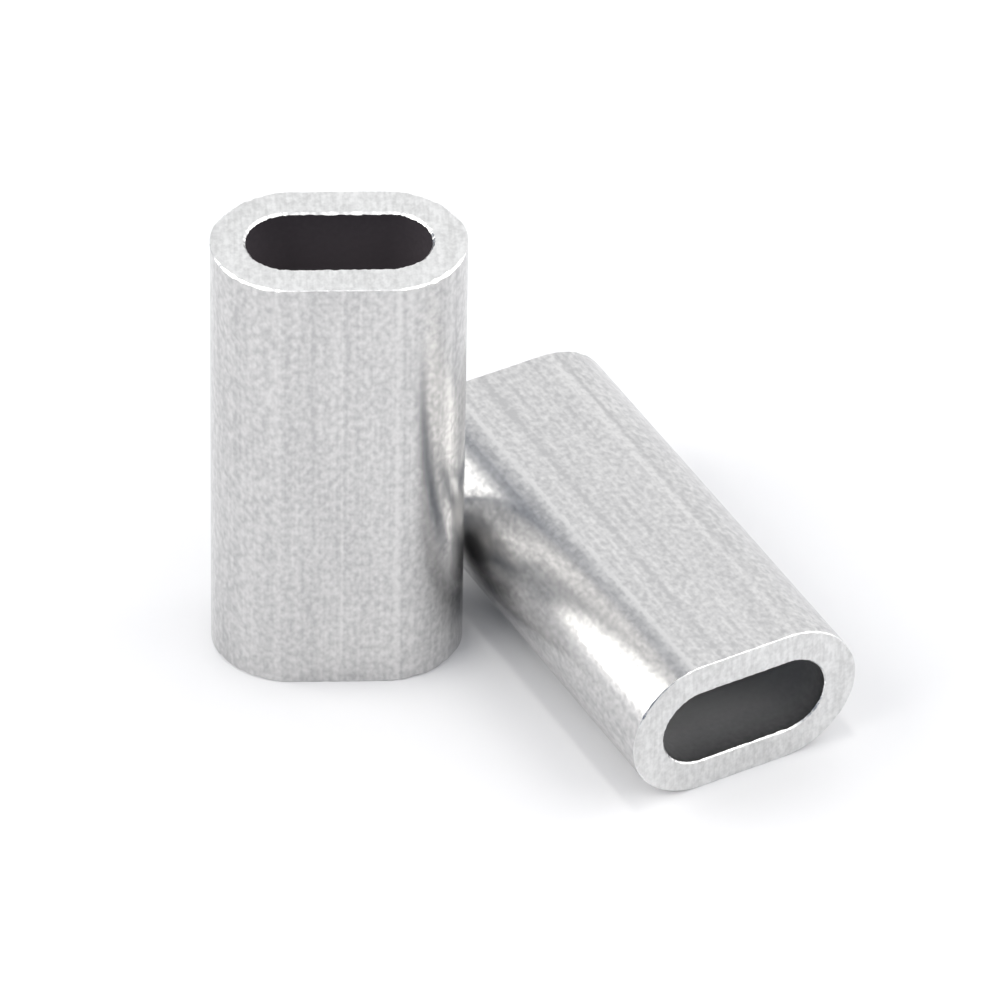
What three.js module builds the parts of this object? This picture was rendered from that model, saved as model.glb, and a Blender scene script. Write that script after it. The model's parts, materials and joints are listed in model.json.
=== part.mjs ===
import * as THREE from "three";

// A pair of oval aluminium ferrules (swage sleeves) for wire rope, new and loose, as they come out of the bag.
// In use the rope's end and its standing part lie side by side in the bore, and a press squeezes the sleeve
// round both, which closes the eye of a sling. Each ferrule is one sawn length of extruded tube, so each is one
// solid. One stands on a sawn end, and the other lies beside it on a flat side.
// Millimetres, +Z up. The origin is on the surface that they rest on, under the middle of the pair.

// The section, worked out from the rope
const ROPE_DIAMETER = 6;
const BORE_HEIGHT = 1.05 * ROPE_DIAMETER; // one rope, with room to thread it
const BORE_WIDTH = 2.2 * ROPE_DIAMETER; // two ropes side by side, with room
const WALL = 2.5;
const HEIGHT = BORE_HEIGHT + 2 * WALL;
const WIDTH = BORE_WIDTH + 2 * WALL;

// The sawn length, and the broken edges round both ends, outside and in the bore
const LENGTH = 6 * ROPE_DIAMETER;
const EDGE_BREAK = 0.2;

// How the pair lies
const TURN = THREE.MathUtils.degToRad(27); // from square to the standing ferrule's flat side
const GAP = 0.4; // between the two, at their nearest

const ARC_STEPS = 16; // ExtrudeGeometry makes twice as many straight steps in each half circle

// An oval with straight flanks and half-round ends, its long axis along X.
function oval(outline, width, height) {
  const radius = height / 2;
  const centre = width / 2 - radius;
  outline.moveTo(-centre, -radius);
  outline.lineTo(centre, -radius);
  outline.absarc(centre, 0, radius, -Math.PI / 2, Math.PI / 2, false);
  outline.lineTo(-centre, radius);
  outline.absarc(-centre, 0, radius, Math.PI / 2, (3 * Math.PI) / 2, false);
  return outline;
}

// The sleeve along Z, with its middle at the origin and its flat sides looking along Y.
function sleeveGeometry() {
  const section = oval(new THREE.Shape(), WIDTH, HEIGHT);
  section.holes.push(oval(new THREE.Path(), BORE_WIDTH, BORE_HEIGHT));
  const depth = LENGTH - 2 * EDGE_BREAK;
  const sleeve = new THREE.ExtrudeGeometry(section, {
    depth,
    curveSegments: ARC_STEPS,
    bevelEnabled: true,
    bevelSegments: 1,
    bevelThickness: EDGE_BREAK,
    bevelSize: EDGE_BREAK,
    bevelOffset: -EDGE_BREAK, // so that the edge break cuts into the section and adds nothing to it
  });
  sleeve.translate(0, 0, -depth / 2);
  return sleeve;
}

// Bare extruded aluminium: pale grey, with a satin skin.
function aluminium() {
  return new THREE.MeshStandardMaterial({ color: 0xd9dadb, metalness: 1, roughness: 0.35 });
}

function ferrule(name) {
  const sleeve = new THREE.Mesh(sleeveGeometry(), aluminium());
  sleeve.name = name;
  return sleeve;
}

function standingFerrule() {
  const sleeve = ferrule("standing_ferrule");
  sleeve.position.z = LENGTH / 2;
  return sleeve;
}

// It lies on a flat side with its axis level. One rounded side all but touches the standing ferrule's
// rounded end, and its middle is on the line through the standing ferrule's long axis.
function lyingFerrule() {
  const sleeve = ferrule("lying_ferrule");
  sleeve.rotation.x = Math.PI / 2;
  const lying = new THREE.Group();
  lying.add(sleeve);
  lying.rotation.z = TURN;
  const standingEndCentre = (WIDTH - HEIGHT) / 2;
  const across = HEIGHT / 2 + GAP + WIDTH / 2;
  lying.position.set(standingEndCentre + across / Math.cos(TURN), 0, HEIGHT / 2);
  return lying;
}

function ferrulePair() {
  const pair = new THREE.Group();
  pair.add(standingFerrule(), lyingFerrule());
  const middle = new THREE.Box3().setFromObject(pair, true).getCenter(new THREE.Vector3());
  pair.position.set(-middle.x, -middle.y, 0);
  return pair;
}

const pair = ferrulePair();

export default pair;
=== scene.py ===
"""A pair of loose oval wire rope ferrules in bare extruded aluminium, one standing on a sawn end and one
lying on a flat side. Each is one mesh, made along its own Z axis and placed where the CAD node is."""
import json
import math

import bpy
from mathutils import Matrix, Vector, noise


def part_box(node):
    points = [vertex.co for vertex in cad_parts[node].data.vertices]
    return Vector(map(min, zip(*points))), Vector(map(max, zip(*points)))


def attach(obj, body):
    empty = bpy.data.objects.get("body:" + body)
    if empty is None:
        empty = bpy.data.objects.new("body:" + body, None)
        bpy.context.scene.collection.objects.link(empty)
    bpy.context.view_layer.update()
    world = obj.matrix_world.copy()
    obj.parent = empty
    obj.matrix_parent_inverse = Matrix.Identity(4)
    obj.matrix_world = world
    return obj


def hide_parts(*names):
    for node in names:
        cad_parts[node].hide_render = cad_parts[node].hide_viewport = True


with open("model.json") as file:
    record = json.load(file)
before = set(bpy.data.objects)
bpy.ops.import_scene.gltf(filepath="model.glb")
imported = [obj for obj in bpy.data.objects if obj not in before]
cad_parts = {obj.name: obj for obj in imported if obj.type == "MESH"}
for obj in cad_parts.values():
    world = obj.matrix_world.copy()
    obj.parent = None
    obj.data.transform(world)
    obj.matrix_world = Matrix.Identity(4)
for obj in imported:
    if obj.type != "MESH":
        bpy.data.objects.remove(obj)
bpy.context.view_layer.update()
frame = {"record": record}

MM = 0.001

WALL = 2.5 * MM  # all round the bore, as in the CAD nodes; the outer size is read from the frame


def centre_and_size(node):
    low, high = (Vector(corner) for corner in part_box(node))
    return (low + high) / 2, high - low


STANDING_CENTRE, STANDING_SIZE = centre_and_size("standing_ferrule")
LYING_CENTRE = centre_and_size("lying_ferrule")[0]
WIDTH, HEIGHT, LENGTH = STANDING_SIZE
OUTER_RADIUS = HEIGHT / 2
BORE_RADIUS = OUTER_RADIUS - WALL
FLAT = WIDTH - HEIGHT  # the flat sides' width, between the half-round ones


def mount_axis(name):
    return Vector(next(m["axis"] for m in frame["record"]["mounts"] if m["name"] == name))


# ---------------------------------------------------------------- the ferrule's mesh

STATION_GAP = 0.15 * MM  # between two stations round the outline
RING_GAP = 9.0 * MM  # between two rings along the walls
FACE_RINGS = 6  # across the wall on each sawn end
SHARP_ANGLE = math.radians(25)  # faces that meet at more than this are shaded apart
SKIN, SAWN, EDGE, BORE = range(4)  # material slots

# Lines that the extrusion die left along the skin, the same on both flat sides. Each is (distance from the
# flat side's middle in mm, strength, half width in mm). A strength above 0 is a raised crest and one below
# 0 a sunken groove; the strength also goes into the skin's colour, as painted highlight on a crest and
# painted shade in a groove.
STANDING_LINES = (
    (-9.8, -0.20, 0.25),
    (-7.7, -0.10, 0.20),
    (-6.7, 0.10, 0.40),
    (-4.35, 0.25, 0.20),
    (-3.7, -0.15, 0.25),
    (-2.7, -0.15, 0.15),
    (-2.0, -0.20, 0.20),
    (0.15, 0.15, 0.10),
    (0.45, -0.25, 0.15),
    (1.2, -0.25, 0.15),
    (4.1, 0.35, 0.25),
    (4.55, -0.20, 0.10),
    (5.2, 0.15, 0.15),
    (8.5, 0.40, 0.20),
    (9.1, -0.25, 0.20),
)
LYING_LINES = (
    (-5.15, -0.20, 0.25),
    (-4.3, 0.70, 0.20),
    (-3.65, -0.15, 0.20),
    (-1.8, -0.45, 0.25),
    (-0.3, -0.20, 0.10),
    (0.6, -0.15, 0.20),
    (0.95, 0.15, 0.10),
    (2.3, -0.20, 0.15),
    (3.9, 0.35, 0.25),
    (4.5, -0.30, 0.25),
)
LINE_HEIGHT = 0.012 * MM  # of a line of strength 1

# The width of the sawn ends' bevel along the flat sides, and on each ferrule (its width round the arcs, the
# burr's width at the bore). The bevel fades out towards the arcs' outermost points.
FLAT_BEVEL = 0.055 * MM
STANDING_EDGES = (0.16 * MM, 0.15 * MM)
LYING_EDGES = (0.09 * MM, 0.09 * MM)
LEAST_BEVEL = 0.02 * MM
LEAST_BURR = 0.03 * MM
BEVEL_GROWTH = 2.5  # how fast the bevel widens from the flat sides into the arcs
FADE_START = 0.25  # the part of a normal that points along the ferrule's Y where the bevel has faded out
FADE_GROWTH = 4
BEVEL_NICKS = ((0.4 * MM, 0.7), (2.5 * MM, 0.4))  # (size, share of the width) of each layer of raggedness
BURR_NICKS = ((0.35 * MM, 0.6), (2 * MM, 0.4))
FOOT_SEED = 10  # added to a ferrule's seed for the edges of its other end


def stations():
    """Each column of vertices round the oval: (centre of its curve, outward normal, way round so far)."""
    half = FLAT / 2
    around = []
    arc_steps = round(math.pi * OUTER_RADIUS / STATION_GAP)
    flat_steps = round(FLAT / STATION_GAP)
    way = 0.0
    for side in (1, -1):
        for i in range(arc_steps):
            angle = math.pi * (i / arc_steps - 0.5)
            normal = Vector((side * math.cos(angle), side * math.sin(angle)))
            around.append((Vector((side * half, 0)), normal, way))
            way += math.pi * OUTER_RADIUS / arc_steps
        for i in range(flat_steps):
            centre = Vector((side * (half - FLAT * i / flat_steps), 0))
            around.append((centre, Vector((0, side)), way))
            way += FLAT / flat_steps
    return around


def rough(way, size, seed):
    """Smooth noise from about -1 to 1 along the way round, with bumps of about this size."""
    return noise.noise(Vector((way / size, seed * 7.31, 0.37)))


def die_line_relief_and_painted_light(centre, normal, lines):
    """How strong the die lines are at this station."""
    from_middle = math.copysign(abs(centre.x) + OUTER_RADIUS * math.asin(min(1.0, abs(normal.x))), centre.x)
    strength = 0.0
    for at, height, half_width in lines:
        strength += height * math.exp(-(((from_middle / MM - at) / half_width) ** 2))
    return strength


def ragged(way, nicks, seed):
    """A factor round 1 that makes an edge's width uneven."""
    factor = 1.0
    for layer, (size, share) in enumerate(nicks):
        factor += share * rough(way, size, seed + layer)
    return factor


def edge_widths(normal, way, edges, seed):
    """The width of the bevel outside, and of the burr at the bore, at one station of one end."""
    arc_bevel, burr = edges
    outer = FLAT_BEVEL + (arc_bevel - FLAT_BEVEL) * min(1.0, abs(normal.x) * BEVEL_GROWTH)
    outer *= min(1.0, max(0.0, abs(normal.y) - FADE_START) * FADE_GROWTH)
    outer *= ragged(way, BEVEL_NICKS, seed)
    inner = burr * ragged(way, BURR_NICKS, seed + len(BEVEL_NICKS))
    return max(outer, LEAST_BEVEL), max(inner, LEAST_BURR)


def between(start, end, steps):
    return [start + (end - start) * i / steps for i in range(steps)]


def profile(normal, way, line, edges, seed):
    """The closed section of the wall at one station: [(radius, height, slot of the face to the next)]."""
    top = LENGTH / 2
    skin = OUTER_RADIUS + LINE_HEIGHT * line
    bore = BORE_RADIUS
    outer_top, inner_top = edge_widths(normal, way, edges, seed)
    outer_foot, inner_foot = edge_widths(normal, way, edges, seed + FOOT_SEED)
    rings = round(LENGTH / RING_GAP)
    points = [(skin, z, SKIN) for z in between(-top + outer_foot, top - outer_top, rings)]
    points.append((skin, top - outer_top, EDGE))
    points += [(r, top, SAWN) for r in between(skin - outer_top, bore + inner_top, FACE_RINGS)]
    points.append((bore + inner_top, top, EDGE))
    points += [(bore, z, BORE) for z in between(top - inner_top, -top + inner_foot, rings)]
    points.append((bore, -top + inner_foot, EDGE))
    points += [(r, -top, SAWN) for r in between(bore + inner_foot, skin - outer_foot, FACE_RINGS)]
    points.append((skin - outer_foot, -top, EDGE))
    return points


def ferrule_mesh(name, lines, edges, seed):
    around = stations()
    verts, faces, slots, strengths = [], [], [], []
    for centre, normal, way in around:
        line = die_line_relief_and_painted_light(centre, normal, lines)
        section = profile(normal, way, line, edges, seed)
        for radius, height, _ in section:
            at = centre + normal * radius
            verts.append((at.x, at.y, height))
            strengths.append(line)
    count = len(section)
    for column in range(len(around)):
        here = column * count
        there = (column + 1) % len(around) * count
        for row in range(count):
            above = (row + 1) % count
            faces.append((here + row, there + row, there + above, here + above))
            slots.append(section[row][2])
    mesh = bpy.data.meshes.new(name)
    mesh.from_pydata(verts, [], faces)
    mesh.polygons.foreach_set("material_index", slots)
    mesh.shade_smooth()
    mesh.set_sharp_from_angle(angle=SHARP_ANGLE)
    attribute = mesh.attributes.new("die_line_relief_and_painted_light", "FLOAT", "POINT")
    attribute.data.foreach_set("value", strengths)
    mesh.update()
    return mesh


# ---------------------------------------------------------------- materials

NOISE_RANGE = (0.25, 0.75)  # the range that a noise node mostly keeps to

# The colours of each material, as (dull, bright), and of each bore's wall, as (at its mouths, further in).
# The bores' dark wall colours are painted shade, and their paler inner ends are painted light.
SKIN_COLOURS = ((0.475, 0.473, 0.475), (0.675, 0.67, 0.665))
SAWN_COLOURS = ((0.61, 0.61, 0.605), (0.785, 0.785, 0.78))
# The edges' light colour is partly fresh-cut metal and partly a painted highlight along the bevel and burr,
# broken by darker random nicks.
EDGE_METAL_AND_HIGHLIGHT_COLOURS = ((0.60, 0.60, 0.60), (0.96, 0.96, 0.96))
# Painted shade for the two bores' walls: the standing one is painted darker than the lying one.
BLACK_BORE_PAINTED_SHADE = ((0.044, 0.038, 0.044), (0.110, 0.096, 0.107))
GREY_BORE_PAINTED_SHADE = ((0.047, 0.047, 0.048), (0.35, 0.35, 0.356))
FLOOR_COLOUR = (0.80, 0.802, 0.815)
# Each bore's painted light grows over this reach in from each mouth.
BORE_PAINTED_LIGHT_REACH = 5 * MM  # how far in from a mouth a bore's colour settles


class Nodes:
    """A material's node tree, built one node at a time."""

    def __init__(self, name):
        self.material = bpy.data.materials.new(name)
        self.material.use_nodes = True
        self.tree = self.material.node_tree
        self.shader = self.tree.nodes["Principled BSDF"]

    def fill(self, node, inputs):
        for key, value in inputs.items():
            if isinstance(value, bpy.types.NodeSocket):
                self.tree.links.new(value, node.inputs[key])
            else:
                node.inputs[key].default_value = value

    def add(self, kind, inputs=None, output=0, **settings):
        node = self.tree.nodes.new("ShaderNode" + kind)
        for key, value in settings.items():
            setattr(node, key, value)
        self.fill(node, inputs or {})
        return node.outputs[output]

    def noise(self, size, stretch=(1, 1, 1), detail=1.0):
        """Noise with cells of about this size in metres, longer along an axis by its stretch."""
        own = self.add("TexCoord", output="Object")
        where = self.add("Mapping", {"Vector": own, "Scale": [1 / s for s in stretch]})
        return self.add("TexNoise", {"Vector": where, "Scale": 1 / size, "Detail": detail})

    def span(self, value, low, high):
        """A noise brought to low..high."""
        return self.map(value, NOISE_RANGE, (low, high))

    def map(self, value, source, target):
        inputs = {"Value": value, "From Min": source[0], "From Max": source[1]}
        inputs.update({"To Min": target[0], "To Max": target[1]})
        return self.add("MapRange", inputs)

    def total(self, *values):
        result = values[0]
        for value in values[1:]:
            result = self.add("Math", {0: result, 1: value}, operation="ADD")
        return result

    def colour(self, tone, dark, light):
        return self.add("Mix", {0: tone, 6: (*dark, 1), 7: (*light, 1)}, output=2, data_type="RGBA")

    def bump(self, height, distance):
        return self.add("Bump", {"Height": height, "Distance": distance})

    def finish(self, **sockets):
        self.fill(self.shader, {key.replace("_", " "): value for key, value in sockets.items()})
        return self.material


def skin_material():
    n = Nodes("extruded_aluminium")
    grain = n.noise(0.40 * MM, (1, 1, 1.3))
    drawn = n.noise(0.28 * MM, (1, 1, 80))
    patches = n.noise(2.5 * MM, (1, 1, 3))
    # The die lines' strength is added into the colour: painted highlight along the crests, painted shade
    # along the grooves.
    lines = n.add("Attribute", output="Fac", attribute_name="die_line_relief_and_painted_light")
    tone = n.total(n.span(grain, 0, 1), n.span(drawn, -0.17, 0.17), n.span(patches, -0.1, 0.1), lines)
    relief = n.total(grain, n.span(drawn, 0, 0.5))
    return n.finish(
        Base_Color=n.colour(tone, *SKIN_COLOURS),
        Metallic=1.0,
        Roughness=n.span(grain, 0.27, 0.23),
        Normal=n.bump(relief, 0.0012 * MM),
    )


def sawn_material():
    n = Nodes("sawn_aluminium")
    grain = n.noise(0.33 * MM, (1, 1.4, 1))
    lines = n.noise(0.25 * MM, (1, 14, 1))
    bands = n.noise(1.2 * MM, (1, 8, 1))
    tone = n.total(n.span(grain, 0, 1), n.span(lines, -0.22, 0.22), n.span(bands, -0.2, 0.2))
    relief = n.total(grain, lines)
    return n.finish(
        Base_Color=n.colour(tone, *SAWN_COLOURS),
        Metallic=1.0,
        Roughness=n.span(lines, 0.46, 0.38),
        Normal=n.bump(relief, 0.002 * MM),
    )


def edge_material():
    n = Nodes("burred_edge_and_painted_highlight")
    nicks = n.noise(0.4 * MM)
    return n.finish(
        # Partly painted highlight: the bevel's colour is much lighter than the skin's.
        Base_Color=n.colour(n.span(nicks, 0, 1), *EDGE_METAL_AND_HIGHLIGHT_COLOURS),
        Metallic=1.0,
        Roughness=n.span(nicks, 0.36, 0.24),
        Normal=n.bump(nicks, 0.006 * MM),
    )


def painted_shade_bore_material(name, colours):
    """A dull dark wall of painted shade, with painted light that makes it paler from the mouths of the bore
    inwards, evening out the falloff of light deep in the bore.
    """
    n = Nodes(name)
    bore_mottle = n.noise(0.4 * MM)
    own = n.add("TexCoord", output="Object")
    along = n.add("SeparateXYZ", {"Vector": own}, output="Z")
    from_middle = n.add("Math", {0: along}, operation="ABSOLUTE")
    # Painted light: the wall's colour grows paler with depth from either mouth.
    painted_light_ramp = n.map(from_middle, (LENGTH / 2, LENGTH / 2 - BORE_PAINTED_LIGHT_REACH), (0, 1))
    tone = n.total(painted_light_ramp, n.span(bore_mottle, -0.04, 0.04))
    return n.finish(
        Base_Color=n.colour(tone, *colours),
        Metallic=0.0,
        Roughness=n.span(bore_mottle, 0.9, 0.75),
        Specular_IOR_Level=0.1,
        Normal=n.bump(bore_mottle, 0.01 * MM),
    )


# ---------------------------------------------------------------- the pieces


def place_ferrule(node, mesh, matrix, materials):
    piece = bpy.data.objects.new(mesh.name, mesh)
    bpy.context.scene.collection.objects.link(piece)
    for material in materials:
        piece.data.materials.append(material)
    piece.matrix_world = matrix
    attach(piece, node)
    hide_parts(node)


def lying_matrix():
    """The ferrule's own Z runs along the lying one's axis, towards its front end, and its own Y is up."""
    forward = mount_axis("lying_front_end")
    up = Vector((0, 0, 1))
    turned = Matrix((up.cross(forward), up, forward)).transposed()
    return Matrix.Translation(LYING_CENTRE) @ turned.to_4x4()


def build_ferrules():
    metal = [skin_material(), sawn_material(), edge_material()]
    # The bores' walls get painted shade, darker in the standing ferrule than in the lying one.
    black = painted_shade_bore_material("painted_shade_bore_black", BLACK_BORE_PAINTED_SHADE)
    grey = painted_shade_bore_material("painted_shade_bore_grey", GREY_BORE_PAINTED_SHADE)
    upright = Matrix.Translation(STANDING_CENTRE)
    standing = ferrule_mesh("standing_metal", STANDING_LINES, STANDING_EDGES, 1)
    lying = ferrule_mesh("lying_metal", LYING_LINES, LYING_EDGES, 2)
    place_ferrule("standing_ferrule", standing, upright, [*metal, black])
    place_ferrule("lying_ferrule", lying, lying_matrix(), [*metal, grey])


build_ferrules()

# ---------------------------------------------------------------- the floor, light and camera

FLOOR_HALF = 0.9
PANEL_DISTANCE = 0.6
KEY_DISTANCE = 1.5
PANEL_COLOUR = (1.0, 0.978, 0.935)
WORLD_COLOUR = (0.04, 0.07, 0.13)

CAMERA_LENS = 382  # mm
CAMERA_AIM = Vector((-2.1, 0.0, 12.17)) * MM
CAMERA_AZIMUTH = 180 + 2.66
CAMERA_ELEVATION = 39.57
CAMERA_DISTANCE = 0.762
CAMERA_ROLL = math.radians(1.06)


def direction(azimuth, elevation):
    """A unit vector. Azimuth 0 is straight behind the pair, +Y, and 90 is to the right, +X."""
    a, e = math.radians(azimuth), math.radians(elevation)
    return Vector((math.sin(a) * math.cos(e), math.cos(a) * math.cos(e), math.sin(e)))


def add_floor():
    mesh = bpy.data.meshes.new("floor")
    half = FLOOR_HALF
    corners = [(-half, -half, 0), (half, -half, 0), (half, half, 0), (-half, half, 0)]
    mesh.from_pydata(corners, [], [(0, 1, 2, 3)])
    floor = bpy.data.objects.new("floor", mesh)
    bpy.context.scene.collection.objects.link(floor)
    n = Nodes("floor")
    material = n.finish(Base_Color=(*FLOOR_COLOUR, 1), Roughness=0.9, Specular_IOR_Level=0.0)
    mesh.materials.append(material)


def add_panel(name, azimuth, elevation, width, height, radiance, distance=PANEL_DISTANCE):
    """A soft light panel that looks at the pair. Its width and height are in degrees as seen from there."""
    light = bpy.data.lights.new(name, "AREA")
    light.shape = "RECTANGLE"
    light.size = 2 * distance * math.tan(math.radians(width / 2))
    light.size_y = 2 * distance * math.tan(math.radians(height / 2))
    light.energy = radiance * math.pi * light.size * light.size_y
    light.color = PANEL_COLOUR
    panel = bpy.data.objects.new(name, light)
    bpy.context.scene.collection.objects.link(panel)
    panel.location = direction(azimuth, elevation) * distance
    panel.rotation_euler = direction(azimuth, elevation).to_track_quat("Z", "Y").to_euler()


def add_world():
    world = bpy.data.worlds.new("studio")
    world.use_nodes = True
    world.node_tree.nodes["Background"].inputs["Color"].default_value = (*WORLD_COLOUR, 1)
    bpy.context.scene.world = world


def add_camera():
    camera_data = bpy.data.cameras.new("camera")
    camera_data.lens = CAMERA_LENS
    camera = bpy.data.objects.new("camera", camera_data)
    bpy.context.scene.collection.objects.link(camera)
    towards = direction(CAMERA_AZIMUTH, CAMERA_ELEVATION)
    camera.location = CAMERA_AIM + towards * CAMERA_DISTANCE
    roll = Matrix.Rotation(CAMERA_ROLL, 3, "Z")
    camera.rotation_euler = (towards.to_track_quat("Z", "Y").to_matrix() @ roll).to_euler()
    bpy.context.scene.camera = camera


add_floor()
add_world()
add_panel("left_panel", -100, 30, 60, 54, 3.0)
add_panel("left_back_panel", -64, 34, 10, 30, 0.5)
add_panel("right_panel", 93, 33, 48, 60, 1.7)
add_panel("back_panel", 22, 24, 112, 78, 1.1)
add_panel("high_back_panel", 55, 60, 50, 24, 0.6)
add_panel("front_right_panel", 130, 42, 30, 36, 1.15)
add_panel("front_panel", 180, 55, 60, 26, 1.3)
add_panel("low_front_panel", 158, 20, 42, 34, 0.95)
add_panel("fill_panel", -50, 54, 26, 22, 0.3)
add_panel("key_light", -50, 88, 5, 5, 55, KEY_DISTANCE)
add_camera()
bpy.context.scene.view_settings.view_transform = "Standard"
